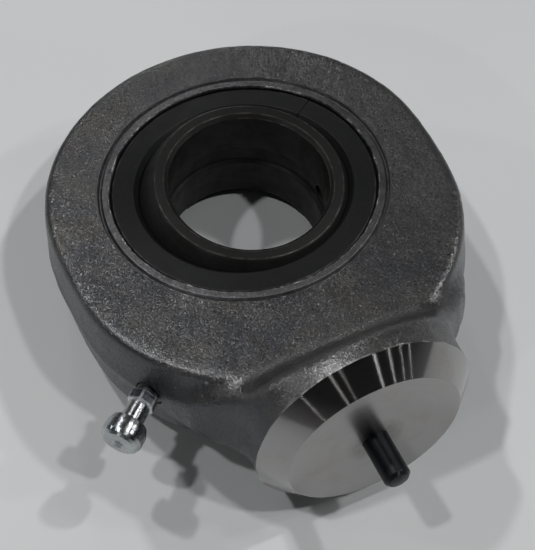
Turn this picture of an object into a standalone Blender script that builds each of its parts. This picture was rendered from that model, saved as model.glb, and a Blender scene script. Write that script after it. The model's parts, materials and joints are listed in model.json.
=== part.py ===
"""Weld-on rod end with a radial spherical plain bearing, bore 25 mm.

Everything is modelled around the bearing's centre: +Z is the axis of the housing's
eye, and the shank points along -Y with its weld face WELD_FACE away. The empty
"bearing_centre" then carries the whole rod end so that its overall box is centred
on the world's origin. The inner ring rests tilted by REST_TILT towards LEAN_ANGLE.
"""
import math

import bmesh
import bpy
from mathutils import Matrix, Vector

MM = 0.001

# Bearing
BALL_R = 17.75 * MM
RACE_R = 17.84 * MM
INNER_HALF_WIDTH = 10.0 * MM
INNER_FACE_R = 14.4 * MM
OUTER_HALF_WIDTH = 8.0 * MM
BORE_R = 12.5 * MM
BORE_CHAMFER = 0.6 * MM
BORE_GROOVE_R = 13.05 * MM
BORE_GROOVE_HALF = 1.7 * MM
BALL_GROOVE_R = 16.95 * MM
BALL_GROOVE_HALF = 1.2 * MM
OUTER_R = 21.0 * MM
OUTER_CHAMFER = 0.8 * MM
OUTER_GROOVE_R = 20.1 * MM
OUTER_GROOVE_HALF = 1.0 * MM
RACE_EDGE_R = 17.1 * MM
RACE_CHAMFER = 0.8 * MM
RACE_GROOVE_R = 18.6 * MM
RACE_GROOVE_HALF = 1.0 * MM
GROOVE_SLOPE = 0.5 * MM
LUBE_HOLE_R = 1.25 * MM
SPLIT_GAP = 0.12 * MM
SPLIT_ANGLE = math.radians(35.0)
REST_TILT = math.radians(7.0)
LEAN_ANGLE = math.radians(-60.0)

# Grease held in the two grooves
RACE_GREASE_INNER = 17.86 * MM
RACE_GREASE_OUTER = 18.5 * MM
BALL_GREASE_INNER = 17.0 * MM
BALL_GREASE_OUTER = 17.66 * MM
GREASE_HALF = 0.9 * MM

# Housing eye
EYE_R = 31.7 * MM
EYE_SHIFT = 6.0 * MM
EYE_HALF = 8.5 * MM
EYE_DRAFT = 0.75 * MM
EYE_RIM = 1.1 * MM
SEAT_R = 21.02 * MM
LIP_R = 20.74 * MM
LIP_OPENING_R = 20.9 * MM
LIP_DEPTH = 1.15 * MM
LIP_CHAMFER = 0.25 * MM
LIP_LAND = 0.4 * MM
STAKE_R = 22.35 * MM
STAKE_HALF = 0.4 * MM
STAKE_DEPTH = 0.7 * MM

# Shank
WELD_FACE = 45.0 * MM
SHANK_R = 16.75 * MM
WELD_CHAMFER = 3.25 * MM

# Centring pin
PIN_R = 2.0 * MM
PIN_REACH = 7.2 * MM
PIN_INSERTED = 8.0 * MM
PIN_CHAMFER = 0.5 * MM
PIN_CROWN = 0.15 * MM
PIN_CLEARANCE = 0.03 * MM

# Grease nipple, measured along its own axis from the bearing's centre
NIPPLE_ANGLE = math.radians(-138.0)
NIPPLE_TAIL = 29.6 * MM
NIPPLE_SEAT = 35.2 * MM
NIPPLE_HEX_BASE = 36.0 * MM
NIPPLE_HEX_TOP = 37.8 * MM
NIPPLE_HEAD_BACK = 40.9 * MM
NIPPLE_NOSE = 44.6 * MM
NIPPLE_THREAD_R = 1.75 * MM
NIPPLE_ROOT_R = 1.45 * MM
NIPPLE_PITCH = 0.7 * MM
NIPPLE_HEX_FLATS = 3.9 * MM
NIPPLE_HEX_TURN = math.radians(-6.0)
HEX_CHAMFER = 0.25 * MM
NIPPLE_NECK_R = 1.75 * MM
NIPPLE_SHOULDER_R = 2.75 * MM
NIPPLE_HEAD_R = 3.15 * MM
NIPPLE_FACE_R = 2.5 * MM
NIPPLE_RIM_R = 1.3 * MM
NIPPLE_HOLE_R = 1.85 * MM
SPOT_FACE_R = 2.6 * MM
CHANNEL_R = 0.8 * MM
VALVE_BORE_R = 0.95 * MM
VALVE_MOUTH_R = 0.6 * MM
VALVE_TAIL_R = 0.45 * MM
VALVE_STEP = 38.3 * MM
VALVE_LIP = 0.25 * MM
VALVE_SEAT_LENGTH = 0.45 * MM
CHECK_BALL_R = 0.85 * MM
CHECK_BALL_AT = 43.7 * MM
SPRING_R = 0.68 * MM
SPRING_WIRE_R = 0.11 * MM
SPRING_START = 38.5 * MM
SPRING_END = 42.95 * MM
SPRING_COILS = 6

# Facets
RING_SEGMENTS = 72
ARC_STEPS = 5
SMALL_SEGMENTS = 20
PIN_SEGMENTS = 32
SPRING_SEGMENTS = 14
WIRE_SIDES = 6
OVERSHOOT = 2.0 * MM
SMALL_STEP = 0.2 * MM
SMOOTH_ANGLE = math.radians(35.0)


def clear_scene():
    for item in list(bpy.data.objects):
        bpy.data.objects.remove(item, do_unlink=True)


def material(name, colour, roughness, metallic):
    made = bpy.data.materials.new(name)
    made.use_nodes = True
    made.diffuse_color = (*colour, 1.0)
    shader = made.node_tree.nodes["Principled BSDF"]
    shader.inputs["Base Color"].default_value = (*colour, 1.0)
    shader.inputs["Roughness"].default_value = roughness
    shader.inputs["Metallic"].default_value = metallic
    return made


def add_object(name, mesh_data, finish=None):
    """Turn a bmesh into a smooth-shaded object, with its faces turned outwards."""
    bmesh.ops.recalc_face_normals(mesh_data, faces=mesh_data.faces[:])
    mesh = bpy.data.meshes.new(name)
    mesh_data.to_mesh(mesh)
    mesh_data.free()
    mesh.shade_smooth()
    mesh.set_sharp_from_angle(angle=SMOOTH_ANGLE)
    made = bpy.data.objects.new(name, mesh)
    bpy.context.collection.objects.link(made)
    if finish is not None:
        mesh.materials.append(finish)
    return made


def add_band(mesh_data, first, second):
    """Join two rings of vertices; a ring of one vertex is a pole."""
    count = max(len(first), len(second))
    for index in range(count):
        after = (index + 1) % count
        if len(first) == 1:
            corners = (first[0], second[after], second[index])
        elif len(second) == 1:
            corners = (first[index], first[after], second[0])
        else:
            corners = (first[index], first[after], second[after], second[index])
        mesh_data.faces.new(corners)


def turned(profile, segments, closed=True):
    """Revolve points (radius, height) about Z. An open profile ends on the axis."""
    mesh_data = bmesh.new()
    rings = []
    for radius, height in profile:
        if radius == 0.0:
            rings.append([mesh_data.verts.new((0.0, 0.0, height))])
            continue
        ring = []
        for index in range(segments):
            angle = 2.0 * math.pi * index / segments
            ring.append(mesh_data.verts.new((radius * math.cos(angle), radius * math.sin(angle), height)))
        rings.append(ring)
    for first, second in zip(rings, rings[1:]):
        add_band(mesh_data, first, second)
    if closed:
        add_band(mesh_data, rings[-1], rings[0])
    return mesh_data


def lofted(rings):
    """Skin a row of equal rings of points and cap both ends."""
    mesh_data = bmesh.new()
    made = [[mesh_data.verts.new(point) for point in ring] for ring in rings]
    for first, second in zip(made, made[1:]):
        add_band(mesh_data, first, second)
    mesh_data.faces.new(made[0])
    mesh_data.faces.new(made[-1])
    return mesh_data


def sphere_arc(radius, from_height, to_height, steps=ARC_STEPS):
    """Points on a sphere's meridian between two heights, as (radius, height)."""
    start = math.asin(from_height / radius)
    end = math.asin(to_height / radius)
    points = []
    for step in range(steps + 1):
        angle = start + (end - start) * step / steps
        points.append((radius * math.cos(angle), radius * math.sin(angle)))
    return points


def mirrored(half):
    """Complete a profile given for the upper side with its lower side."""
    return half + [(radius, -height) for radius, height in reversed(half)]


def axis_matrix(direction):
    return Vector(direction).to_track_quat("Z", "Y").to_matrix().to_4x4()


def cutter(name, mesh_data, placement=None):
    made = add_object(name, mesh_data)
    made.hide_render = True
    made.display_type = "WIRE"
    if placement is not None:
        made.matrix_world = placement
    return made


def combine(target, tool, operation):
    step = target.modifiers.new(tool.name, "BOOLEAN")
    step.object = tool
    step.operation = operation
    step.solver = "EXACT"


def cylinder(radius, low, high, segments):
    return turned([(0.0, low), (radius, low), (radius, high), (0.0, high)], segments, closed=False)


def bake(target, tools):
    """Keep the cut mesh on the object and drop the cutters it came from."""
    bpy.context.view_layer.update()
    evaluated = target.evaluated_get(bpy.context.evaluated_depsgraph_get())
    cut = bpy.data.meshes.new_from_object(evaluated)
    target.modifiers.clear()
    target.data = cut
    cut.name = target.name
    for tool in tools:
        bpy.data.objects.remove(tool, do_unlink=True)
    cut.shade_smooth()
    cut.set_sharp_from_angle(angle=SMOOTH_ANGLE)


# ---- housing ---------------------------------------------------------------

def eye_outline(inset, segments):
    """Outline around two circles, one on the bore and one moved towards the shank."""
    radius = EYE_R - inset
    points = []
    for index in range(segments):
        angle = 2.0 * math.pi * index / segments
        shift = EYE_SHIFT * smooth_step(-math.sin(angle))
        points.append((radius * math.cos(angle), radius * math.sin(angle) - shift))
    return points


def smooth_step(amount):
    """0 below -0.15 and 1 above 0.35, with a smooth change between."""
    ratio = min(max((amount + 0.15) / 0.5, 0.0), 1.0)
    return ratio * ratio * (3.0 - 2.0 * ratio)


def eye_body():
    """The forged eye: drafted walls that meet at the parting plane, rounded rims."""
    wall_top = EYE_HALF - EYE_RIM
    levels = [(0.0, 0.0), (wall_top, EYE_DRAFT)]
    for step in range(1, 4):
        angle = math.radians(30.0 * step)
        levels.append((wall_top + EYE_RIM * math.sin(angle),
                       EYE_DRAFT + EYE_RIM * (1.0 - math.cos(angle))))
    rings = []
    for height, inset in [(-height, inset) for height, inset in reversed(levels[1:])] + levels:
        rings.append([(x, y, height) for x, y in eye_outline(inset, RING_SEGMENTS)])
    return lofted(rings)


def shank_sections():
    """(y, half width, half height, squareness) from inside the eye out to the weld face."""
    chamfer_top = WELD_FACE - WELD_CHAMFER
    return [
        (-27.0 * MM, 24.2 * MM, 6.9 * MM, 3.6),
        (-30.5 * MM, 22.4 * MM, 7.7 * MM, 4.0),
        (-32.5 * MM, 20.5 * MM, 8.5 * MM, 4.2),
        (-34.0 * MM, 18.7 * MM, 9.7 * MM, 4.0),
        (-35.3 * MM, 17.5 * MM, 11.6 * MM, 3.6),
        (-36.5 * MM, 16.9 * MM, 13.7 * MM, 3.0),
        (-37.8 * MM, 16.7 * MM, 15.4 * MM, 2.5),
        (-39.4 * MM, 16.8 * MM, 16.4 * MM, 2.2),
        (-chamfer_top, SHANK_R, SHANK_R, 2.0),
        (-WELD_FACE, SHANK_R - WELD_CHAMFER, SHANK_R - WELD_CHAMFER, 2.0),
    ]


def superellipse(half_width, half_height, squareness, segments):
    points = []
    for index in range(segments):
        angle = 2.0 * math.pi * index / segments
        cosine = math.cos(angle)
        sine = math.sin(angle)
        across = math.copysign(abs(cosine) ** (2.0 / squareness), cosine)
        up = math.copysign(abs(sine) ** (2.0 / squareness), sine)
        points.append((half_width * across, half_height * up))
    return points


def shank_body():
    rings = []
    for y, half_width, half_height, squareness in shank_sections():
        ring = superellipse(half_width, half_height, squareness, RING_SEGMENTS)
        rings.append([(x, y, z) for x, z in ring])
    return lofted(rings)


def seat_cutter_profile():
    """The bearing seat with the two lips that are staked over the outer ring."""
    half = [
        (0.0, EYE_HALF + OVERSHOOT),
        (LIP_OPENING_R, EYE_HALF + OVERSHOOT),
        (LIP_OPENING_R, EYE_HALF),
        (LIP_R, EYE_HALF - LIP_CHAMFER),
        (LIP_R, EYE_HALF - LIP_CHAMFER - LIP_LAND),
        (SEAT_R, EYE_HALF - LIP_DEPTH),
    ]
    return mirrored(half)


def stake_cutter_profile(side):
    return [
        (STAKE_R - STAKE_HALF, side * (EYE_HALF + SMALL_STEP)),
        (STAKE_R, side * (EYE_HALF - STAKE_DEPTH)),
        (STAKE_R + STAKE_HALF, side * (EYE_HALF + SMALL_STEP)),
    ]


def nipple_direction():
    return Vector((math.cos(NIPPLE_ANGLE), math.sin(NIPPLE_ANGLE), 0.0))


def nipple_hole_profile():
    """Stepped drilling: grease channel, threaded hole and spot face, inside to outside."""
    hole_bottom = NIPPLE_TAIL - SMALL_STEP
    return [
        (0.0, SEAT_R - OVERSHOOT),
        (CHANNEL_R, SEAT_R - OVERSHOOT),
        (CHANNEL_R, hole_bottom),
        (NIPPLE_HOLE_R, hole_bottom),
        (NIPPLE_HOLE_R, NIPPLE_SEAT),
        (SPOT_FACE_R, NIPPLE_SEAT),
        (SPOT_FACE_R, NIPPLE_NOSE),
        (0.0, NIPPLE_NOSE),
    ]


def build_housing():
    finish = material("forged_steel", (0.085, 0.085, 0.09), 0.55, 0.75)
    housing = add_object("housing", eye_body(), finish)
    along_nipple = axis_matrix(nipple_direction())
    along_shank = axis_matrix((0.0, -1.0, 0.0))
    shank = cutter("shank_blank", shank_body())
    combine(housing, shank, "UNION")
    pin_depth = WELD_FACE - PIN_INSERTED - PIN_CHAMFER
    cuts = [
        cutter("cut_seat", turned(seat_cutter_profile(), RING_SEGMENTS, closed=False)),
        cutter("cut_stake_top", turned(stake_cutter_profile(1.0), RING_SEGMENTS)),
        cutter("cut_stake_bottom", turned(stake_cutter_profile(-1.0), RING_SEGMENTS)),
        cutter("cut_nipple_hole", turned(nipple_hole_profile(), SMALL_SEGMENTS, closed=False),
               along_nipple),
        cutter("cut_pin_hole", cylinder(PIN_R + PIN_CLEARANCE, pin_depth, WELD_FACE + OVERSHOOT,
                                        PIN_SEGMENTS), along_shank),
    ]
    for cut in cuts:
        combine(housing, cut, "DIFFERENCE")
    bake(housing, [shank] + cuts)
    return housing


# ---- bearing ---------------------------------------------------------------

def outer_ring_profile():
    edge_low = OUTER_HALF_WIDTH - RACE_CHAMFER
    race = sphere_arc(RACE_R, edge_low, RACE_GROOVE_HALF + SMALL_STEP)
    outside = [
        (OUTER_GROOVE_R, OUTER_GROOVE_HALF),
        (OUTER_R, OUTER_GROOVE_HALF + GROOVE_SLOPE),
        (OUTER_R, OUTER_HALF_WIDTH - OUTER_CHAMFER),
        (OUTER_R - OUTER_CHAMFER, OUTER_HALF_WIDTH),
    ]
    inside = [(RACE_EDGE_R, OUTER_HALF_WIDTH)] + race + [(RACE_GROOVE_R, RACE_GROOVE_HALF)]
    return mirrored(outside + inside)


def inner_ring_profile():
    ball = sphere_arc(BALL_R, INNER_HALF_WIDTH - SMALL_STEP, BALL_GROOVE_HALF + SMALL_STEP)
    inside = [
        (BORE_GROOVE_R, BORE_GROOVE_HALF),
        (BORE_R, BORE_GROOVE_HALF + GROOVE_SLOPE),
        (BORE_R, INNER_HALF_WIDTH - BORE_CHAMFER),
        (BORE_R + BORE_CHAMFER, INNER_HALF_WIDTH),
    ]
    outside = [(INNER_FACE_R, INNER_HALF_WIDTH)] + ball + [(BALL_GROOVE_R, BALL_GROOVE_HALF)]
    return mirrored(inside + outside)


def lube_hole_cutter(name):
    """One rod across the ring makes both of its opposite lubrication holes."""
    rod = cylinder(LUBE_HOLE_R, -OUTER_R - OVERSHOOT, OUTER_R + OVERSHOOT, SMALL_SEGMENTS)
    return cutter(name, rod, axis_matrix((1.0, 0.0, 0.0)))


def build_outer_ring():
    finish = material("phosphated_outer", (0.028, 0.028, 0.03), 0.4, 0.6)
    ring = add_object("outer_ring", turned(outer_ring_profile(), RING_SEGMENTS), finish)
    split = bmesh.new()
    bmesh.ops.create_cube(split, size=1.0)
    size = (OUTER_R, SPLIT_GAP, 2.0 * OUTER_R)
    bmesh.ops.scale(split, vec=size, verts=split.verts[:])
    bmesh.ops.translate(split, vec=(OUTER_R, 0.0, 0.0), verts=split.verts[:])
    cuts = [
        cutter("cut_split", split, Matrix.Rotation(SPLIT_ANGLE, 4, "Z")),
        lube_hole_cutter("cut_outer_holes"),
    ]
    for cut in cuts:
        combine(ring, cut, "DIFFERENCE")
    bake(ring, cuts)
    return ring


def build_inner_ring(tilt_frame):
    finish = material("phosphated_inner", (0.04, 0.038, 0.036), 0.36, 0.7)
    ring = add_object("inner_ring", turned(inner_ring_profile(), RING_SEGMENTS), finish)
    cut = lube_hole_cutter("cut_inner_holes")
    combine(ring, cut, "DIFFERENCE")
    bake(ring, [cut])
    ring.parent = tilt_frame
    return ring


def build_grease(name, inner, outer, parent=None):
    finish = material(name, (0.42, 0.27, 0.09), 0.3, 0.0)
    ring = add_object(name, turned(mirrored([(outer, GREASE_HALF), (inner, GREASE_HALF)]),
                                   RING_SEGMENTS), finish)
    ring.parent = parent
    return ring


# ---- pin and nipple --------------------------------------------------------

def build_pin():
    finish = material("black_oxide", (0.02, 0.022, 0.026), 0.38, 0.65)
    inner_end = WELD_FACE - PIN_INSERTED
    outer_end = WELD_FACE + PIN_REACH
    profile = [
        (0.0, inner_end),
        (PIN_R - PIN_CHAMFER, inner_end),
        (PIN_R, inner_end + PIN_CHAMFER),
        (PIN_R, outer_end - PIN_CHAMFER - PIN_CROWN),
        (PIN_R - PIN_CHAMFER, outer_end - PIN_CROWN),
        (0.5 * PIN_R, outer_end - 0.2 * PIN_CROWN),
        (0.0, outer_end),
    ]
    pin = add_object("centering_pin", turned(profile, PIN_SEGMENTS, closed=False), finish)
    pin.matrix_world = axis_matrix((0.0, -1.0, 0.0))
    return pin


def nipple_thread():
    """Ridges of the thread, from the tail up to where it leaves the hole."""
    points = [(NIPPLE_ROOT_R, NIPPLE_TAIL)]
    height = NIPPLE_TAIL + 0.5 * NIPPLE_PITCH
    while height + NIPPLE_PITCH < NIPPLE_SEAT:
        points.append((NIPPLE_THREAD_R, height))
        points.append((NIPPLE_ROOT_R, height + 0.5 * NIPPLE_PITCH))
        height += NIPPLE_PITCH
    return points


def nipple_profile():
    """Outside from tail to nose, then the valve bore back down to the tail."""
    collar_r = NIPPLE_ROOT_R + SMALL_STEP
    barrel_start = NIPPLE_HEAD_BACK + 1.1 * MM
    barrel_end = NIPPLE_NOSE - 1.1 * MM
    face_edge = NIPPLE_NOSE - 0.15 * MM
    outside = nipple_thread() + [
        (collar_r, NIPPLE_SEAT),
        (collar_r, NIPPLE_HEX_TOP - SMALL_STEP),
        (NIPPLE_NECK_R, NIPPLE_HEX_TOP + SMALL_STEP),
        (NIPPLE_NECK_R, NIPPLE_HEAD_BACK),
        (NIPPLE_SHOULDER_R, NIPPLE_HEAD_BACK + 0.05 * MM),
        (NIPPLE_HEAD_R, barrel_start),
        (NIPPLE_HEAD_R, barrel_end),
        (NIPPLE_HEAD_R - SMALL_STEP, 0.5 * (barrel_end + NIPPLE_NOSE)),
        (NIPPLE_FACE_R, face_edge),
        (NIPPLE_RIM_R, NIPPLE_NOSE),
    ]
    valve_seat = NIPPLE_NOSE - VALVE_LIP
    inside = [
        (VALVE_MOUTH_R, NIPPLE_NOSE),
        (VALVE_MOUTH_R, valve_seat),
        (VALVE_BORE_R, valve_seat - VALVE_SEAT_LENGTH),
        (VALVE_BORE_R, VALVE_STEP),
        (VALVE_TAIL_R, VALVE_STEP),
        (VALVE_TAIL_R, NIPPLE_TAIL),
    ]
    return outside + inside


def hexagon():
    """Plain hexagon on the nipple's axis, turned so that one corner points almost straight up."""
    mesh_data = bmesh.new()
    corner_r = NIPPLE_HEX_FLATS / math.sqrt(3.0)
    bmesh.ops.create_cone(mesh_data, cap_ends=True, segments=6, radius1=corner_r, radius2=corner_r,
                          depth=NIPPLE_HEX_TOP - NIPPLE_HEX_BASE)
    middle = 0.5 * (NIPPLE_HEX_TOP + NIPPLE_HEX_BASE)
    turn = Matrix.Rotation(NIPPLE_HEX_TURN, 4, "Z")
    bmesh.ops.transform(mesh_data, matrix=Matrix.Translation((0.0, 0.0, middle)) @ turn,
                        verts=mesh_data.verts[:])
    return mesh_data


def hexagon_turning():
    """Turned blank that leaves the hexagon's corners on the head's side chamfered."""
    flat_r = 0.5 * NIPPLE_HEX_FLATS
    return [
        (0.0, NIPPLE_HEX_BASE - SMALL_STEP),
        (flat_r + 2.0 * HEX_CHAMFER, NIPPLE_HEX_BASE - SMALL_STEP),
        (flat_r + 2.0 * HEX_CHAMFER, NIPPLE_HEX_TOP - HEX_CHAMFER),
        (flat_r, NIPPLE_HEX_TOP + SMALL_STEP),
        (0.0, NIPPLE_HEX_TOP + SMALL_STEP),
    ]


def build_nipple():
    finish = material("zinc_plate", (0.62, 0.66, 0.7), 0.22, 1.0)
    body = add_object("nipple_body", turned(nipple_profile(), SMALL_SEGMENTS), finish)
    blank = cutter("hexagon_blank", hexagon())
    turning = cutter("hexagon_turning", turned(hexagon_turning(), SMALL_SEGMENTS, closed=False))
    core_r = 0.5 * (VALVE_BORE_R + NIPPLE_ROOT_R)
    core = cutter("hexagon_core", cylinder(core_r, NIPPLE_TAIL, NIPPLE_NOSE, SMALL_SEGMENTS))
    combine(blank, turning, "INTERSECT")
    combine(blank, core, "DIFFERENCE")
    combine(body, blank, "UNION")
    bake(body, [blank, turning, core])
    body.matrix_world = axis_matrix(nipple_direction())
    return body


def build_check_ball():
    finish = material("ball_steel", (0.55, 0.56, 0.58), 0.15, 1.0)
    mesh_data = bmesh.new()
    bmesh.ops.create_uvsphere(mesh_data, u_segments=16, v_segments=8, radius=CHECK_BALL_R)
    ball = add_object("nipple_check_ball", mesh_data, finish)
    ball.location = CHECK_BALL_AT * nipple_direction()
    ball.rotation_mode = "QUATERNION"
    ball.rotation_quaternion = axis_matrix(nipple_direction()).to_quaternion()
    return ball


def build_spring():
    """Round wire swept along a helix, with flat closed ends."""
    finish = material("spring_wire", (0.35, 0.36, 0.38), 0.3, 1.0)
    steps = SPRING_COILS * SPRING_SEGMENTS
    rise = SPRING_END - SPRING_START
    rings = []
    for step in range(steps + 1):
        angle = 2.0 * math.pi * step / SPRING_SEGMENTS
        height = SPRING_START + rise * step / steps
        radial = Vector((math.cos(angle), math.sin(angle), 0.0))
        centre = SPRING_R * radial + Vector((0.0, 0.0, height))
        ring = []
        for side in range(WIRE_SIDES):
            turn = 2.0 * math.pi * side / WIRE_SIDES
            offset = math.cos(turn) * radial + math.sin(turn) * Vector((0.0, 0.0, 1.0))
            ring.append(centre + SPRING_WIRE_R * offset)
        rings.append(ring)
    spring = add_object("nipple_spring", lofted(rings), finish)
    spring.matrix_world = axis_matrix(nipple_direction())
    return spring


def build_tilt_frame():
    """Empty on the bearing's centre, leaning the inner ring towards LEAN_ANGLE."""
    frame = bpy.data.objects.new("tilt_frame", None)
    bpy.context.collection.objects.link(frame)
    hinge = Vector((-math.sin(LEAN_ANGLE), math.cos(LEAN_ANGLE), 0.0))
    frame.matrix_world = Matrix.Rotation(REST_TILT, 4, hinge)
    return frame


def overall_centre():
    bpy.context.view_layer.update()
    corners = []
    for item in bpy.data.objects:
        if item.type == "MESH":
            corners += [item.matrix_world @ vertex.co for vertex in item.data.vertices]
    low = Vector([min(corner[axis] for corner in corners) for axis in range(3)])
    high = Vector([max(corner[axis] for corner in corners) for axis in range(3)])
    return 0.5 * (low + high)


def carry_on_bearing_centre():
    """Parent every loose object to one empty and centre the overall box on the origin."""
    shift = overall_centre()
    loose = [item for item in bpy.data.objects if item.parent is None]
    carrier = bpy.data.objects.new("bearing_centre", None)
    bpy.context.collection.objects.link(carrier)
    for item in loose:
        item.parent = carrier
    carrier.location = -shift


def build():
    clear_scene()
    tilt_frame = build_tilt_frame()
    build_housing()
    build_outer_ring()
    build_inner_ring(tilt_frame)
    build_grease("race_grease", RACE_GREASE_INNER, RACE_GREASE_OUTER)
    build_grease("ball_grease", BALL_GREASE_INNER, BALL_GREASE_OUTER, tilt_frame)
    build_pin()
    build_nipple()
    build_check_ball()
    build_spring()
    carry_on_bearing_centre()


build()
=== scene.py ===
"""Looks of the weld-on rod end.

Every CAD solid is redrawn at full detail around the bearing's centre, which comes from
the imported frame. Shapes are written in millimetres: a turned piece along its own Z axis,
the housing with its eye along Z and its shank along -Y.
"""
import json
import math

import bmesh
import bpy
import numpy as np
from mathutils import Matrix, Vector, noise


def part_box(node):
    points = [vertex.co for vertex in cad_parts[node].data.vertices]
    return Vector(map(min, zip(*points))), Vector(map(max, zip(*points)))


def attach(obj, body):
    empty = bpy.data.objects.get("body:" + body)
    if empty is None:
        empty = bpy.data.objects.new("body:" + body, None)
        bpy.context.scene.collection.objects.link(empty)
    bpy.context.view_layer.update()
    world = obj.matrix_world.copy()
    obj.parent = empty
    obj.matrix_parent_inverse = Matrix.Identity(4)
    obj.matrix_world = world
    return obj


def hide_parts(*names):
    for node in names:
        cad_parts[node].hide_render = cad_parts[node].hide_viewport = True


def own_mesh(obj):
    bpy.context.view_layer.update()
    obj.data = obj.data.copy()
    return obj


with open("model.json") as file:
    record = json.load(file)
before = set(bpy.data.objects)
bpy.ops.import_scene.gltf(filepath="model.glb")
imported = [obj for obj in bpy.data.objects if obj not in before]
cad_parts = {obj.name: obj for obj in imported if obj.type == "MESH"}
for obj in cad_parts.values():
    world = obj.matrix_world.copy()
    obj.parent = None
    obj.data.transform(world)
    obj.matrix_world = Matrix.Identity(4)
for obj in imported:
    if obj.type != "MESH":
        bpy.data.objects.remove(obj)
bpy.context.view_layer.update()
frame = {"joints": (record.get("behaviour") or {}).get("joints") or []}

MM = 0.001

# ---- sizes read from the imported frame, in millimetres ----


def node_box(name):
    low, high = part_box(name)
    return low / MM, high / MM


def joint_named(name):
    return next(joint for joint in frame["joints"] if joint["name"] == name)


outer_low, outer_high = node_box("outer_ring")
CENTRE = 0.5 * (outer_low + outer_high)
OUTER_R = outer_high.x - CENTRE.x
OUTER_HALF_WIDTH = outer_high.z - CENTRE.z
WELD_FACE = CENTRE.y - node_box("housing")[0].y
PIN_END = CENTRE.y - node_box("centering_pin")[0].y
PIN_START = CENTRE.y - node_box("centering_pin")[1].y
PIN_R = 0.5 * (node_box("centering_pin")[1].x - node_box("centering_pin")[0].x)
INNER_AXIS = Vector(joint_named("swivel")["axis"])
NIPPLE_AXIS = -Vector(joint_named("check_valve")["axis"])
SHANK_AXIS = Vector((0.0, -1.0, 0.0))
UP = Vector((0.0, 0.0, 1.0))

# ---- bearing ----
BALL_R = 17.75
RACE_R = 17.84
INNER_HALF_WIDTH = 10.0
INNER_FACE_R = 14.55
BORE_R = 12.5
BORE_GROOVE_DEPTH = 0.55
BORE_GROOVE_HALF = 1.7
BALL_GROOVE_R = 16.95
BALL_GROOVE_HALF = 1.2
RACE_EDGE_R = 17.1
RACE_GROOVE_R = 18.6
RACE_GROOVE_HALF = 1.0
OUTER_GROOVE_DEPTH = 0.9
LUBE_HOLE_R = 1.25
SPLIT_GAP = 0.12
SPLIT_ANGLE = math.radians(35.0)
OUTER_EDGE = 0.6
INNER_EDGE = 0.6
GREASE_HALF = 0.88
RACE_GREASE = (17.88, 18.5, 1.3)  # inner radius, outer radius, seed of its lumps
BALL_GREASE = (17.0, 17.64, 4.6)

# ---- housing ----
EYE_R = 31.7
EYE_SHIFT = 6.0
EYE_HALF = 8.5
EYE_DRAFT = 0.75
EYE_RIM = 1.1
FLASH_LINE = 0.14
SHANK_R = 16.75
SHANK_ROOT = 25.0
WELD_CHAMFER = 3.25
PIN_CLEARANCE = 0.03
SEAT_R = 21.02
LIP_R = 20.74
LIP_OPENING_R = 20.9
LIP_DEPTH = 1.15
STAKE_R = 22.35
STAKE_HALF = 0.32
STAKE_DEPTH = 0.55
SHANK_SECTIONS = [  # distance from the bore's centre, half width, half height, squareness
    (SHANK_ROOT, 25.1, 6.4, 3.4),
    (27.0, 24.3, 6.9, 3.6),
    (30.5, 22.5, 7.7, 4.0),
    (32.5, 20.6, 8.5, 4.2),
    (34.0, 18.7, 9.7, 4.0),
    (35.3, 17.4, 11.6, 3.6),
    (36.5, 16.8, 14.1, 3.0),
    (37.8, 16.65, 15.9, 2.5),
    (39.0, 16.8, 16.85, 2.1),
    (41.75, 16.95, 16.95, 2.0),
    (47.0, 16.95, 16.95, 2.0),
]

# ---- nipple, along its own axis from the bearing's centre ----
NIPPLE_TAIL = 29.6
NIPPLE_SEAT = 35.2
NIPPLE_HEX_BASE = 36.0
NIPPLE_HEX_TOP = 37.8
NIPPLE_HEAD_BACK = 40.9
NIPPLE_NOSE = 44.6
NIPPLE_THREAD_R = 1.75
NIPPLE_ROOT_R = 1.45
NIPPLE_PITCH = 0.7
NIPPLE_HEX_FLATS = 3.9
NIPPLE_HEX_TURN = math.radians(-6.0)
HEX_EDGE = 0.1
HEX_CONE = 0.28
NIPPLE_NECK_R = 1.75
NIPPLE_SHOULDER_R = 2.75
NIPPLE_HEAD_R = 3.15
NIPPLE_FACE_R = 2.5
NIPPLE_RIM_R = 1.0
NIPPLE_HOLE_R = 1.85
SPOT_FACE_R = 2.6
CHANNEL_R = 0.8
VALVE_BORE_R = 0.95
VALVE_MOUTH_R = 0.6
VALVE_TAIL_R = 0.45
VALVE_STEP = 38.3
CHECK_BALL_R = 0.85
CHECK_BALL_AT = 43.7
SPRING_R = 0.68
SPRING_WIRE_R = 0.11
SPRING_START = 38.5
SPRING_END = 42.95
SPRING_COILS = 6.0

# ---- fineness, and how the forging's skin is worn ----
FINE = 288
MEDIUM = 96
VOXEL = 0.3
SHARP = math.radians(38.0)
WEAR_ROUNDS = 48
HOLLOW_RATE = 0.85
CREST_RATE = 0.1
SKIN_LAYERS = [(9.0, 0.09, 2), (2.4, 0.035, 2), (0.9, 0.024, 2)]  # size, height, octaves

# ---- table, light and camera, around the bearing's centre ----
TABLE_NORMAL = Vector((0.0, -0.1133, 0.9936)).normalized()
TABLE_POINT = Vector((0.0, -41.75, -16.78))
TABLE_HALF = 2500.0
LAMP_DISTANCE = 2000.0
LAMP_SIZE = 100.0
BACKDROP = (0.5, 0.51, 0.52, 1.0)
ROOM_GLOW = [(0.0, 0.12), (0.3, 0.01), (0.7, 0.01), (0.9, 0.03), (1.0, 0.035)]  # height, level
CAMERA_AT = Vector((-45.211, -122.734, 160.698))
CAMERA_RIGHT = Vector((0.909615, -0.413623, -0.038935))
CAMERA_UP = Vector((0.354015, 0.722644, 0.593682))
CAMERA_LENS = 84.69
SENSOR = 36.0


# ---- meshes ----

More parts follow.
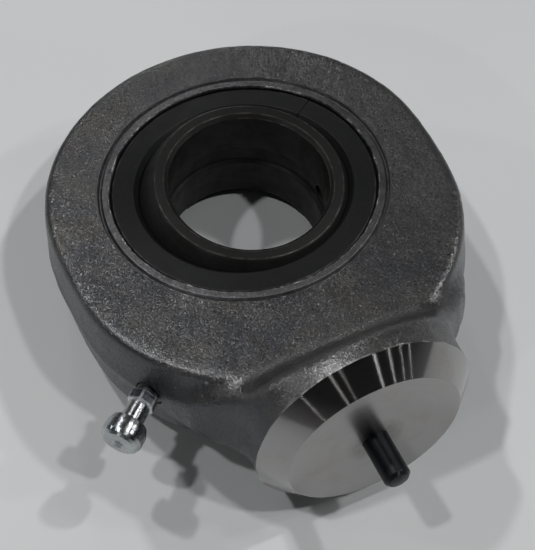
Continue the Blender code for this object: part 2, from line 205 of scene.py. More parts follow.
def to_mesh(name, points, faces):
    """A mesh from points in millimetres, its faces turned outwards."""
    mesh = bpy.data.meshes.new(name)
    mesh.from_pydata([tuple(MM * value for value in point) for point in points], [], faces)
    made = bmesh.new()
    made.from_mesh(mesh)
    bmesh.ops.recalc_face_normals(made, faces=made.faces[:])
    made.to_mesh(mesh)
    made.free()
    return mesh


def baked(made, name):
    """The mesh of a finished bmesh."""
    mesh = bpy.data.meshes.new(name)
    made.to_mesh(mesh)
    made.free()
    return mesh


def in_scene(name, data, placement=None):
    """A new object in the scene, at the origin unless it is placed."""
    item = bpy.data.objects.new(name, data)
    bpy.context.scene.collection.objects.link(item)
    if placement is not None:
        item.matrix_world = placement
    return item


def add_piece(name, mesh, placement, finish=None):
    """A visible piece. Without a finish it keeps the finishes that its mesh has."""
    if finish is not None:
        mesh.materials.clear()
        mesh.materials.append(finish)
    mesh.shade_smooth()
    mesh.set_sharp_from_angle(angle=SHARP)
    return in_scene(name, mesh, placement)


def turn_onto(axis):
    """A turn that takes Z onto an axis."""
    return axis.to_track_quat("Z", "Y").to_matrix().to_4x4()


def lean_onto(axis):
    """The shortest turn that takes Z onto an axis."""
    return UP.rotation_difference(axis).to_matrix().to_4x4()


def placed(turn=Matrix.Identity(4), point=Vector()):
    """A frame that is turned, then moved to a point given from the bearing's centre."""
    return Matrix.Translation(MM * (CENTRE + point)) @ turn


def band(first, second):
    """Faces between two rings of point numbers; a ring of one point is a pole."""
    count = max(len(first), len(second))
    faces = []
    for index in range(count):
        after = (index + 1) % count
        if len(first) == 1:
            faces.append((first[0], second[after], second[index]))
        elif len(second) == 1:
            faces.append((first[index], first[after], second[0]))
        else:
            faces.append((first[index], first[after], second[after], second[index]))
    return faces


def turned(name, profile, segments=FINE, closed=False, bulge=None):
    """Revolve points (radius, height) about Z; bulge(angle, radius, height) adds to a radius."""
    points = []
    rings = []
    for radius, height in profile:
        first = len(points)
        if radius == 0.0:
            points.append((0.0, 0.0, height))
            rings.append([first])
            continue
        for index in range(segments):
            angle = 2.0 * math.pi * index / segments
            reach = radius + (bulge(angle, radius, height) if bulge else 0.0)
            points.append((reach * math.cos(angle), reach * math.sin(angle), height))
        rings.append(list(range(first, first + segments)))
    faces = []
    for first, second in zip(rings, rings[1:]):
        faces += band(first, second)
    if closed:
        faces += band(rings[-1], rings[0])
    return to_mesh(name, points, faces)


def rod(name, radius, low, high, segments=MEDIUM):
    return turned(name, [(0.0, low), (radius, low), (radius, high), (0.0, high)], segments)


def lofted(name, rings):
    """Skin a row of equal rings of points and cap both ends."""
    size = len(rings[0])
    numbers = [list(range(size * index, size * (index + 1))) for index in range(len(rings))]
    faces = [tuple(numbers[0]), tuple(numbers[-1])]
    for first, second in zip(numbers, numbers[1:]):
        faces += band(first, second)
    return to_mesh(name, [point for ring in rings for point in ring], faces)


def rounded(corners, fillet=0.0, closed=False, steps=4, support=0.12):
    """Soften a profile's corners; a corner (radius, height, own) has its own fillet."""
    count = len(corners)
    path = []
    for index, corner in enumerate(corners):
        here = Vector(corner[:2])
        size = corner[2] if len(corner) > 2 else fillet
        is_end = index in (0, count - 1) and not closed
        back = Vector(corners[index - 1][:2]) - here
        ahead = Vector(corners[(index + 1) % count][:2]) - here
        half = 0.5 * back.angle(ahead) if not is_end else 0.5 * math.pi
        if is_end or size == 0.0 or half > math.radians(85.0):
            path.append(tuple(here))
            continue
        reach = min(size / math.tan(half), 0.4 * back.length, 0.4 * ahead.length)
        start = here + reach * back.normalized()
        end = here + reach * ahead.normalized()
        room = 0.45 * min(back.length, ahead.length) - reach
        if room > support:
            path.append(tuple(start + support * back.normalized()))
        for step in range(steps + 1):
            part = step / steps
            path.append(tuple((1 - part) ** 2 * start + 2 * part * (1 - part) * here + part ** 2 * end))
        if room > support:
            path.append(tuple(end + support * ahead.normalized()))
    return path


def sphere_arc(radius, from_height, to_height, steps=28):
    """Points on a sphere's meridian between two heights, as (radius, height)."""
    start = math.asin(from_height / radius)
    end = math.asin(to_height / radius)
    angles = [start + (end - start) * step / steps for step in range(steps + 1)]
    return [(radius * math.cos(angle), radius * math.sin(angle)) for angle in angles]


def mirrored(half):
    """Complete a profile given for the upper side with its lower side."""
    return half + [(corner[0], -corner[1], *corner[2:]) for corner in reversed(half)]


def evaluated_mesh(item):
    """A copy of an object's mesh with its modifiers applied."""
    bpy.context.view_layer.update()
    seen = item.evaluated_get(bpy.context.evaluated_depsgraph_get())
    return bpy.data.meshes.new_from_object(seen)


def combined(name, base, steps):
    """Cut or join meshes one after the other: steps are (operation, mesh, placement)."""
    body = in_scene(name, base)
    tools = []
    for operation, mesh, placement in steps:
        tool = in_scene(mesh.name, mesh, placement)
        tools.append(tool)
        step = body.modifiers.new(mesh.name, "BOOLEAN")
        step.object = tool
        step.operation = operation
        step.solver = "EXACT"
        step.material_mode = "TRANSFER"
    result = evaluated_mesh(body)
    result.name = name
    for item in tools + [body]:
        bpy.data.objects.remove(item, do_unlink=True)
    return result


def wavy(seed, size):
    """A smooth random function of an angle, between about -1 and 1."""
    def value(angle):
        spot = Vector((math.cos(angle) / size, math.sin(angle) / size, seed))
        return 2.0 * noise.fractal(spot, 1.0, 2.0, 3)
    return value


# ---- housing ----

def smooth_step(amount, low, high):
    ratio = min(max((amount - low) / (high - low), 0.0), 1.0)
    return ratio * ratio * (3.0 - 2.0 * ratio)


def eye_outline(inset, segments):
    """A circle round the bore whose half nearer the shank is moved towards it."""
    radius = EYE_R - inset
    points = []
    for index in range(segments):
        angle = 2.0 * math.pi * index / segments
        shift = EYE_SHIFT * smooth_step(-math.sin(angle), -0.15, 0.35)
        points.append((radius * math.cos(angle), radius * math.sin(angle) - shift))
    return points


def eye_blank():
    """Drafted walls that meet in a faint flash line, and rounded rims."""
    wall_top = EYE_HALF - EYE_RIM
    levels = [(0.0, -FLASH_LINE), (0.3, -0.6 * FLASH_LINE), (0.6, 0.06), (wall_top, EYE_DRAFT)]
    rim_steps = 6
    for step in range(1, rim_steps + 1):
        angle = 0.5 * math.pi * step / rim_steps
        levels.append((wall_top + EYE_RIM * math.sin(angle),
                       EYE_DRAFT + EYE_RIM * (1.0 - math.cos(angle))))
    rings = []
    for height, inset in [(-height, inset) for height, inset in reversed(levels[1:])] + levels:
        rings.append([(x, y, height) for x, y in eye_outline(inset, FINE)])
    return lofted("eye_blank", rings)


def shank_section(along):
    """(half width, half height, squareness) of the shank, from the eye out to its round end."""
    for low, high in zip(SHANK_SECTIONS, SHANK_SECTIONS[1:]):
        if along <= high[0]:
            part = smooth_step(along, low[0], high[0])
            part = 0.5 * part + 0.5 * (along - low[0]) / (high[0] - low[0])
            return [a + (b - a) * part for a, b in zip(low[1:], high[1:])]
    return SHANK_SECTIONS[-1][1:]


def shank_blank():
    """Shank from inside the eye to a little beyond the weld face."""
    rings = []
    end = WELD_FACE + 1.5
    steps = 60
    for step in range(steps + 1):
        along = SHANK_ROOT + (end - SHANK_ROOT) * step / steps
        half_width, half_height, squareness = shank_section(along)
        ring = []
        for index in range(MEDIUM * 2):
            angle = math.pi * index / MEDIUM
            cosine = math.cos(angle)
            sine = math.sin(angle)
            across = math.copysign(abs(cosine) ** (2.0 / squareness), cosine)
            up = math.copysign(abs(sine) ** (2.0 / squareness), sine)
            ring.append((half_width * across, -along, half_height * up))
        rings.append(ring)
    return lofted("shank_blank", rings)


def vertex_arrays(mesh):
    """(points, normals) of a mesh, in metres."""
    count = len(mesh.vertices)
    points = np.empty(count * 3, np.float32)
    normals = np.empty(count * 3, np.float32)
    mesh.vertices.foreach_get("co", points)
    mesh.vertex_normals.foreach_get("vector", normals)
    return points.reshape(-1, 3).astype(float), normals.reshape(-1, 3).astype(float)


def move_vertices(mesh, points):
    """Put a mesh's vertices at these points, in metres."""
    mesh.vertices.foreach_set("co", points.astype(np.float32).ravel())
    mesh.update()


def relax(mesh, rounds, hollow, crest):
    """Even a mesh out: hollows fill by one rate and crests wear by another."""
    edges = np.empty(len(mesh.edges) * 2, np.int32)
    mesh.edges.foreach_get("vertices", edges)
    start, end = edges.reshape(-1, 2).T
    points, normals = vertex_arrays(mesh)
    count = len(points)
    shares = np.bincount(start, minlength=count) + np.bincount(end, minlength=count)
    refresh = 8
    for turn in range(rounds):
        mean = np.empty_like(points)
        for axis in range(3):
            mean[:, axis] = (np.bincount(start, points[end, axis], count)
                             + np.bincount(end, points[start, axis], count)) / shares
        step = mean - points
        inward = np.einsum("ij,ij->i", step, normals)
        rate = np.where(inward > 0.0, hollow, crest)
        points += rate[:, None] * step
        if (turn + 1) % refresh == 0:
            move_vertices(mesh, points)
            points, normals = vertex_arrays(mesh)
    move_vertices(mesh, points)


def roughen(mesh, layers):
    """Move points along their normals by layers of (size, height, octaves) of noise."""
    points, normals = vertex_arrays(mesh)
    moves = np.zeros(len(points))
    for index, (size, height, octaves) in enumerate(layers):
        shift = Vector((17.3 * index, 5.1, 2.7))
        scale = 1.0 / (MM * size)
        samples = [noise.fractal(Vector(point) * scale + shift, 1.0, 2.0, octaves) for point in points]
        moves += MM * height * np.array(samples)
    move_vertices(mesh, points + moves[:, None] * normals)


def forging():
    """The blank as it leaves the die: eye and shank grown together with soft hollows."""
    both = bmesh.new()
    both.from_mesh(eye_blank())
    both.from_mesh(shank_blank())
    blank = in_scene("forging", baked(both, "forging"))
    step = blank.modifiers.new("grow_together", "REMESH")
    step.mode = "VOXEL"
    step.voxel_size = MM * VOXEL
    mesh = evaluated_mesh(blank)
    bpy.data.objects.remove(blank, do_unlink=True)
    relax(mesh, WEAR_ROUNDS, HOLLOW_RATE, CREST_RATE)
    roughen(mesh, SKIN_LAYERS)
    return mesh


def seat_cutter():
    """Bearing seat; both lips are staked over the outer ring, with an uneven inner edge."""
    uneven = wavy(seed=3.1, size=0.16)
    ragged = wavy(seed=8.7, size=0.035)

    def bulge(angle, radius, height):
        is_lip_edge = radius < SEAT_R - 0.05
        return 0.07 * uneven(angle) + 0.05 * ragged(angle) if is_lip_edge else 0.0

    half = [
        (0.0, EYE_HALF + 2.0),
        (LIP_OPENING_R + 0.5, EYE_HALF + 2.0),
        (LIP_OPENING_R + 0.12, EYE_HALF + 0.1),
        (LIP_OPENING_R - 0.02, EYE_HALF - 0.12),
        (LIP_R, EYE_HALF - 0.3),
        (LIP_R, EYE_HALF - 0.6),
        (SEAT_R, EYE_HALF - LIP_DEPTH),
    ]
    return turned("cut_seat", mirrored(half), 2 * FINE, bulge=bulge)


def stake_cutter(side):
    """The ring that the staking tool presses: a smooth lip, then a groove with a raised edge."""
    top = EYE_HALF + 0.5
    flat = EYE_HALF - 0.06
    inside = LIP_R - 1.2
    point = 0.08
    corners = [
        (inside, top),
        (inside, flat),
        (STAKE_R - STAKE_HALF - 0.1, flat, 0.12),
        (STAKE_R - point, EYE_HALF - STAKE_DEPTH, 0.05),
        (STAKE_R + point, EYE_HALF - STAKE_DEPTH, 0.05),
        (STAKE_R + STAKE_HALF, EYE_HALF - 0.02, 0.04),
        (STAKE_R + STAKE_HALF + 0.1, top),
    ]
    profile = [(radius, side * height) for radius, height in rounded(corners, support=9.0)]
    name = "cut_stake_top" if side > 0 else "cut_stake_bottom"
    return turned(name, profile, 2 * FINE, closed=True)


def weld_end_cutter():
    """All that lies outside the turned weld face and its 45 degree chamfer."""
    inner = SHANK_R - WELD_CHAMFER
    beyond = 24.0
    end = WELD_FACE + 4.0
    profile = [
        (0.0, WELD_FACE),
        (inner - 0.1, WELD_FACE),
        (inner - 0.03, WELD_FACE - 0.012),
        (inner + 0.05, WELD_FACE - 0.06),
        (beyond, WELD_FACE - (beyond - inner)),
        (beyond, end),
        (0.0, end),
    ]
    return turned("cut_weld_end", profile)


def nipple_hole_cutter():
    """Stepped drilling: grease channel, threaded hole and spot face."""
    hole_bottom = NIPPLE_TAIL - 0.3
    channel_end = SEAT_R - 2.0
    countersink = 0.35
    profile = [
        (0.0, channel_end),
        (CHANNEL_R, channel_end),
        (CHANNEL_R, hole_bottom - 0.6),
        (NIPPLE_HOLE_R, hole_bottom),
        (NIPPLE_HOLE_R, NIPPLE_SEAT - countersink),
        (NIPPLE_HOLE_R + countersink, NIPPLE_SEAT),
        (SPOT_FACE_R, NIPPLE_SEAT),
        (SPOT_FACE_R, NIPPLE_NOSE),
        (0.0, NIPPLE_NOSE),
    ]
    return turned("cut_nipple_hole", profile, MEDIUM)


def build_housing(finishes):
    """The forging with all its machining; each cut leaves its own finish."""
    blank = forging()
    blank.materials.append(finishes["forged"])
    pin_hole = rod("cut_pin_hole", PIN_R + PIN_CLEARANCE, PIN_START - 0.5, WELD_FACE + 2.0)
    cuts = [
        (seat_cutter(), None, "lip"),
        (stake_cutter(1.0), None, "lip"),
        (stake_cutter(-1.0), None, "lip"),
        (weld_end_cutter(), turn_onto(SHANK_AXIS), "turned"),
        (nipple_hole_cutter(), turn_onto(NIPPLE_AXIS), "drilled"),
        (pin_hole, turn_onto(SHANK_AXIS), "drilled"),
    ]
    for mesh, placement, finish in cuts:
        mesh.materials.append(finishes[finish])
    steps = [("DIFFERENCE", mesh, placement) for mesh, placement, finish in cuts]
    return add_piece("forged_housing", combined("forged_housing", blank, steps), placed())


# ---- bearing rings ----

def lube_holes():
    """The step that cuts both of a ring's lubrication holes, with one rod across it."""
    reach = OUTER_R + 2.0
    tool = rod("cut_lube_holes", LUBE_HOLE_R, -reach, reach, MEDIUM // 2)
    return "DIFFERENCE", tool, turn_onto(Vector((1.0, 0.0, 0.0)))


def build_outer_ring(finish):
    """Ring with a spherical race, grease grooves inside and out, and one split."""
    race = sphere_arc(RACE_R, OUTER_HALF_WIDTH - 0.85, RACE_GROOVE_HALF + 0.25)
    half = [
        (OUTER_R - OUTER_GROOVE_DEPTH, RACE_GROOVE_HALF, 0.2),
        (OUTER_R, RACE_GROOVE_HALF + 0.5, 0.1),
        (OUTER_R, OUTER_HALF_WIDTH - OUTER_EDGE, 0.15),
        (OUTER_R - OUTER_EDGE, OUTER_HALF_WIDTH, 0.15),
        (RACE_EDGE_R, OUTER_HALF_WIDTH, 0.12),
    ] + race + [(RACE_GROOVE_R, RACE_GROOVE_HALF, 0.12)]
    ring = turned("outer_ring", rounded(mirrored(half), closed=True), closed=True)
    slit = bmesh.new()
    bmesh.ops.create_cube(slit, size=MM)
    bmesh.ops.scale(slit, vec=(OUTER_R, SPLIT_GAP, 2.0 * OUTER_R), verts=slit.verts[:])
    bmesh.ops.translate(slit, vec=(MM * OUTER_R, 0.0, 0.0), verts=slit.verts[:])
    split = ("DIFFERENCE", baked(slit, "cut_split"), Matrix.Rotation(SPLIT_ANGLE, 4, "Z"))
    return add_piece("ring_outer", combined("ring_outer", ring, [split, lube_holes()]), placed(), finish)


def build_inner_ring(finish):
    """Ball with flat faces, a chamfered bore and grease grooves."""
    ball = sphere_arc(BALL_R, INNER_HALF_WIDTH - 0.14, BALL_GROOVE_HALF + 0.35)
    half = [
        (BORE_R + BORE_GROOVE_DEPTH, BORE_GROOVE_HALF, 0.3),
        (BORE_R, BORE_GROOVE_HALF + 0.5, 0.12),
        (BORE_R, INNER_HALF_WIDTH - INNER_EDGE, 0.12),
        (BORE_R + INNER_EDGE, INNER_HALF_WIDTH, 0.12),
        (INNER_FACE_R, INNER_HALF_WIDTH, 0.12),
    ] + ball + [(BALL_GROOVE_R, BALL_GROOVE_HALF, 0.15)]
    ring = turned("inner_ring", rounded(mirrored(half), closed=True), closed=True)
    mesh = combined("ring_inner", ring, [lube_holes()])
    return add_piece("ring_inner", mesh, placed(lean_onto(INNER_AXIS)), finish)


def build_grease(name, fill, finish, placement):
    """A lumpy ring of grease that fills most of its groove."""
    inner, outer, seed = fill
    lumps = wavy(seed, size=0.12)
    corners = [(outer, -GREASE_HALF), (inner, -GREASE_HALF), (inner, GREASE_HALF), (outer, GREASE_HALF)]
    middle = 0.5 * (inner + outer)
    lump_depth = 0.04

    def bulge(angle, radius, height):
        inward = -1.0 if radius > middle else 1.0
        return inward * lump_depth * abs(lumps(angle + 0.4 * height))

    profile = rounded(corners, fillet=0.26, closed=True, steps=6, support=0.2)
    mesh = turned(name, profile, closed=True, bulge=bulge)
    return add_piece(name, mesh, placement, finish)


# ---- pin and nipple ----

def build_pin(finish):
    """Dowel with chamfered ends, the outer one slightly crowned."""
    crown = 0.15
    chamfer = 0.5
    corners = [
        (0.0, PIN_START),
        (PIN_R - chamfer, PIN_START, 0.1),
        (PIN_R, PIN_START + chamfer, 0.1),
        (PIN_R, PIN_END - chamfer - crown, 0.12),
        (PIN_R - chamfer, PIN_END - crown, 0.12),
        (0.5 * PIN_R, PIN_END - 0.2 * crown),
        (0.0, PIN_END),
    ]
    mesh = turned("dowel_pin", rounded(corners), MEDIUM)
    return add_piece("dowel_pin", mesh, placed(turn_onto(SHANK_AXIS)), finish)


def nipple_blank():
    """Turned nipple: thread, stem, neck, barrel head and nose, then the valve bore inside."""
    thread_start = NIPPLE_TAIL + 0.25
    thread_end = NIPPLE_HEX_BASE - 0.35
    barrel_start = NIPPLE_HEAD_BACK + 1.1
    barrel_end = NIPPLE_NOSE - 1.1
    rows = 96
    thread = [(NIPPLE_ROOT_R, thread_start + (thread_end - thread_start) * row / rows)
              for row in range(rows + 1)]
    outside = rounded([
        (NIPPLE_ROOT_R, thread_end + 0.02),
        (NIPPLE_ROOT_R, NIPPLE_HEX_TOP - 0.3, 0.05),
        (NIPPLE_NECK_R - 0.08, NIPPLE_HEX_TOP - 0.1, 0.05),
        (NIPPLE_NECK_R - 0.02, 0.5 * (NIPPLE_HEX_TOP + NIPPLE_HEAD_BACK), 0.8),
        (NIPPLE_NECK_R, NIPPLE_HEAD_BACK, 0.14),
        (NIPPLE_SHOULDER_R, NIPPLE_HEAD_BACK + 0.03, 0.12),
        (NIPPLE_HEAD_R, barrel_start, 0.4),
        (NIPPLE_HEAD_R, barrel_end, 0.25),
        (NIPPLE_HEAD_R - 0.2, 0.5 * (barrel_end + NIPPLE_NOSE), 0.2),
        (NIPPLE_FACE_R, NIPPLE_NOSE - 0.15, 0.1),
        (NIPPLE_FACE_R - 0.35, NIPPLE_NOSE - 0.08, 0.05),
        (NIPPLE_RIM_R, NIPPLE_NOSE, 0.06),
        (VALVE_MOUTH_R, NIPPLE_NOSE - 0.24),
        (VALVE_MOUTH_R, NIPPLE_NOSE - 0.26),
        (VALVE_BORE_R, NIPPLE_NOSE - 0.7),
        (VALVE_BORE_R, VALVE_STEP),
        (VALVE_TAIL_R, VALVE_STEP),
        (VALVE_TAIL_R, NIPPLE_TAIL),
    ], support=0.1)
    tail = [(NIPPLE_ROOT_R - 0.15, NIPPLE_TAIL)]
    flank = 0.42
    crest = 0.85
    runout = 0.4

    def bulge(angle, radius, height):
        """The thread: a helical ridge with a flat crest that fades out at both ends."""
        if abs(radius - NIPPLE_ROOT_R) > 0.001 or not thread_start < height < thread_end:
            return 0.0
        phase = (height / NIPPLE_PITCH - angle / (2.0 * math.pi)) % 1.0
        ridge = max(0.0, 1.0 - abs(phase - 0.5) / flank)
        fade = min(1.0, (height - thread_start) / runout, (thread_end - height) / runout)
        return (NIPPLE_THREAD_R - NIPPLE_ROOT_R) * min(ridge, crest) / crest * fade

    return turned("nipple_blank", tail + thread + outside, MEDIUM, closed=True, bulge=bulge)


def hexagon_blank():
    """Hexagon with softened edges, its upper corners turned to a cone."""
    height = NIPPLE_HEX_TOP - NIPPLE_HEX_BASE
    corner_r = MM * NIPPLE_HEX_FLATS / math.sqrt(3.0)
    prism = bmesh.new()
    bmesh.ops.create_cone(prism, cap_ends=True, segments=6, radius1=corner_r, radius2=corner_r,
                          depth=MM * height)
    middle = 0.5 * (NIPPLE_HEX_TOP + NIPPLE_HEX_BASE)
    place = Matrix.Translation((0.0, 0.0, MM * middle)) @ Matrix.Rotation(NIPPLE_HEX_TURN, 4, "Z")
    bmesh.ops.transform(prism, matrix=place, verts=prism.verts[:])
    bmesh.ops.bevel(prism, geom=prism.edges[:], offset=MM * HEX_EDGE, segments=3, affect="EDGES")
    flat_r = 0.5 * NIPPLE_HEX_FLATS
    outside = flat_r + 0.45
    below = NIPPLE_HEX_BASE - 0.1
    above = NIPPLE_HEX_TOP + 0.03
    rounding = turned("hexagon_turning", [
        (0.0, below),
        (outside, below),
        (outside, NIPPLE_HEX_TOP - HEX_CONE),
        (flat_r + 0.02, above),
        (0.0, above),
    ], MEDIUM)
    core = rod("hexagon_core", 0.5 * (VALVE_BORE_R + NIPPLE_ROOT_R), NIPPLE_TAIL, NIPPLE_NOSE)
    steps = [("INTERSECT", rounding, None), ("DIFFERENCE", core, None)]
    return combined("hexagon_blank", baked(prism, "hexagon"), steps)


def build_nipple(finish):
    """The turned nipple with its hexagon."""
    mesh = combined("grease_nipple", nipple_blank(), [("UNION", hexagon_blank(), None)])
    return add_piece("grease_nipple", mesh, placed(turn_onto(NIPPLE_AXIS)), finish)


def build_check_ball(finish):
    """The valve ball, lapped to a narrow bright band where it seats."""
    lapped_at = math.radians(46.0)
    lapped_width = 0.05
    lapped_depth = 0.006
    steps = 40
    profile = []
    for step in range(steps + 1):
        angle = -0.5 * math.pi + math.pi * step / steps
        wear_and_painted_highlight = lapped_depth * math.exp(-((angle - lapped_at) / lapped_width) ** 2)
        radius = (CHECK_BALL_R - wear_and_painted_highlight) * math.cos(angle)
        profile.append((radius if 0 < step < steps else 0.0,
                        CHECK_BALL_AT + (CHECK_BALL_R - wear_and_painted_highlight) * math.sin(angle)))
    mesh = turned("check_ball", profile, 64)
    return add_piece("check_ball", mesh, placed(turn_onto(NIPPLE_AXIS)), finish)


def build_spring(finish):
    """Round wire along a helix whose first and last coils close up."""
    sides = 12
    steps = int(SPRING_COILS * 40)
    rise = SPRING_END - SPRING_START
    rings = []
    for step in range(steps + 1):
        part = step / steps
        angle = 2.0 * math.pi * SPRING_COILS * part
        height = SPRING_START + rise * (0.5 * part + 0.5 * smooth_step(part, 0.0, 1.0))
        radial = Vector((math.cos(angle), math.sin(angle), 0.0))
        centre = SPRING_R * radial + height * UP
        ring = []
        for side in range(sides):
            turn = 2.0 * math.pi * side / sides
            offset = math.cos(turn) * radial + math.sin(turn) * UP
            ring.append(centre + SPRING_WIRE_R * offset)
        rings.append(ring)
    return add_piece("check_spring", lofted("check_spring", rings), placed(turn_onto(NIPPLE_AXIS)), finish)


# ---- finishes ----

class Nodes:
    """Builds a node tree. Inputs may be sockets, numbers or tuples."""

    def __init__(self, tree):
        self.tree = tree

    def feed(self, socket, value):
        if isinstance(value, bpy.types.NodeSocket):
            self.tree.links.new(value, socket)
        else:
            socket.default_value = value

    def node(self, kind, inputs=None, out=0, **settings):
        made = self.tree.nodes.new(kind)
        for key, value in settings.items():
            setattr(made, key, value)
        for key, value in (inputs or {}).items():
            self.feed(made.inputs[key], value)
        return made.outputs[out]

    def vector(self, operation, first, second=(0.0, 0.0, 0.0), scale=1.0, out=0):
        inputs = {0: first, 1: second}
        if operation == "SCALE":
            inputs = {0: first, "Scale": scale}
        return self.node("ShaderNodeVectorMath", inputs, out=out, operation=operation)

    def dot(self, first, second):
        return self.vector("DOT_PRODUCT", first, second, out="Value")


class Finish(Nodes):
    """One material, made of masks, colours and relief. Its lengths are in millimetres."""

    def __init__(self, name):
        self.made = bpy.data.materials.new(name)
        self.made.use_nodes = True
        super().__init__(self.made.node_tree)
        self.shader = self.tree.nodes["Principled BSDF"]
        self.place = self.vector("SCALE", self.node("ShaderNodeTexCoord", out="Object"), scale=1.0 / MM)

    def math(self, operation, first, second=0.0, third=0.0):
        return self.node("ShaderNodeMath", {0: first, 1: second, 2: third}, operation=operation)

    def times(self, first, second):
        return self.math("MULTIPLY", first, second)

    def ease(self, amount, low, high):
        """A value that goes from low to high as the amount goes from 0 to 1."""
        return self.math("MULTIPLY_ADD", amount, high - low, low)

    def spread(self, value, low, high, to_low=0.0, to_high=1.0):
        """Map a span of values onto another, clamped and eased at both ends."""
        return self.node("ShaderNodeMapRange", {"Value": value, "From Min": low, "From Max": high,
                                                "To Min": to_low, "To Max": to_high},
                         interpolation_type="SMOOTHSTEP")

    def between(self, value, low, full_low, full_high, high):
        """1 between the two middle values, fading to 0 at the outer two."""
        return self.times(self.spread(value, low, full_low), self.spread(value, full_high, high, 1.0, 0.0))

    def noise(self, size, detail=3.0, roughness=0.6, vector=None):
        """Soft noise about 0.5 whose lumps measure about `size` millimetres."""
        inputs = {"Vector": vector or self.place, "Scale": 1.0 / size, "Detail": detail,
                  "Roughness": roughness}
        return self.node("ShaderNodeTexNoise", inputs)

    def cells(self, size, out="Distance"):
        """Random cells about `size` millimetres apart."""
        return self.node("ShaderNodeTexVoronoi", {"Vector": self.place, "Scale": 1.0 / size}, out=out)

    def facing(self, axis):
        """The cosine between the surface's normal and an axis of the piece."""
        return self.dot(self.node("ShaderNodeTexCoord", out="Normal"), axis)

    def blend(self, amount, first, second):
        """Mix two colours."""
        made = self.tree.nodes.new("ShaderNodeMix")
        made.data_type = "RGBA"
        self.feed(made.inputs["Factor"], amount)
        for socket, value in (("A_Color", first), ("B_Color", second)):
            target = next(item for item in made.inputs if item.identifier == socket)
            self.feed(target, (*value, 1.0) if isinstance(value, tuple) else value)
        return next(item for item in made.outputs if item.identifier == "Result_Color")

    def layered(self, colour, layers):
        """Lay (amount, colour) layers over a first colour, in order."""
        for amount, over in layers:
            colour = self.blend(amount, colour, over)
        return colour

    def bump(self, height, depth, normal=None):
        """Relief whose full range of heights is `depth` millimetres."""
        inputs = {"Height": height, "Distance": MM * depth, "Strength": 1.0}
        if normal is not None:
            inputs["Normal"] = normal
        return self.node("ShaderNodeBump", inputs)

    def edges(self, low, high):
        """1 on outer edges that wear bright."""
        return self.spread(self.node("ShaderNodeNewGeometry", out="Pointiness"), low, high)

    def lathe(self, axis):
        """(height, radius, outward direction) about an axis through the piece's origin."""
        along = self.dot(self.place, axis)
        radial = self.vector("SUBTRACT", self.place, self.vector("SCALE", axis, scale=along))
        return along, self.vector("LENGTH", radial, out="Value"), self.vector("NORMALIZE", radial)

    def turning(self, axis, pitch, drift):
        """(marks, tangent) of a surface turned about an axis through the piece's origin."""
        along, radius, around = self.lathe(axis)
        height_share = 0.83
        across = self.times(self.math("MULTIPLY_ADD", along, height_share, radius), 1.0 / pitch)
        row = self.node("ShaderNodeCombineXYZ", {"X": across})
        sample = self.vector("ADD", row, self.vector("SCALE", around, scale=drift))
        marks = self.noise(1.0, vector=sample)
        tangent = self.vector("CROSS_PRODUCT", axis, around)
        world = self.node("ShaderNodeVectorTransform", {"Vector": tangent}, vector_type="VECTOR",
                          convert_from="OBJECT", convert_to="WORLD")
        return marks, world

    def rim(self, radius, height, width):
        """1 on the two circles about Z at this radius, this far above and below the middle."""
        along, distance = self.lathe(UP)[:2]
        offset = self.node("ShaderNodeCombineXYZ", {
            "X": self.math("SUBTRACT", distance, radius),
            "Y": self.math("SUBTRACT", self.math("ABSOLUTE", along), height)})
        return self.spread(self.vector("LENGTH", offset, out="Value"), 0.3 * width, width, 1.0, 0.0)

    def sparkle(self, size, amount, normal):
        """Tilt the normal at random from grain to grain, so that single grains glint."""
        grain = self.cells(size, out="Color")
        tilt = self.vector("SCALE", self.vector("SUBTRACT", grain, (0.5, 0.5, 0.5)), scale=amount)
        return self.vector("NORMALIZE", self.vector("ADD", normal, tilt))

    def mix_in(self, amount, shader):
        """Show another shader over the main one."""
        mixed = self.node("ShaderNodeMixShader", {0: amount, 1: self.shader.outputs[0], 2: shader})
        self.tree.links.new(mixed, self.tree.nodes["Material Output"].inputs["Surface"])

    def finish(self, **inputs):
        """Feed the main shader's inputs by name and return the material."""
        for key, value in inputs.items():
            socket = self.shader.inputs[key.replace("_", " ").title().replace("Ior", "IOR")]
            self.feed(socket, value)
        return self.made


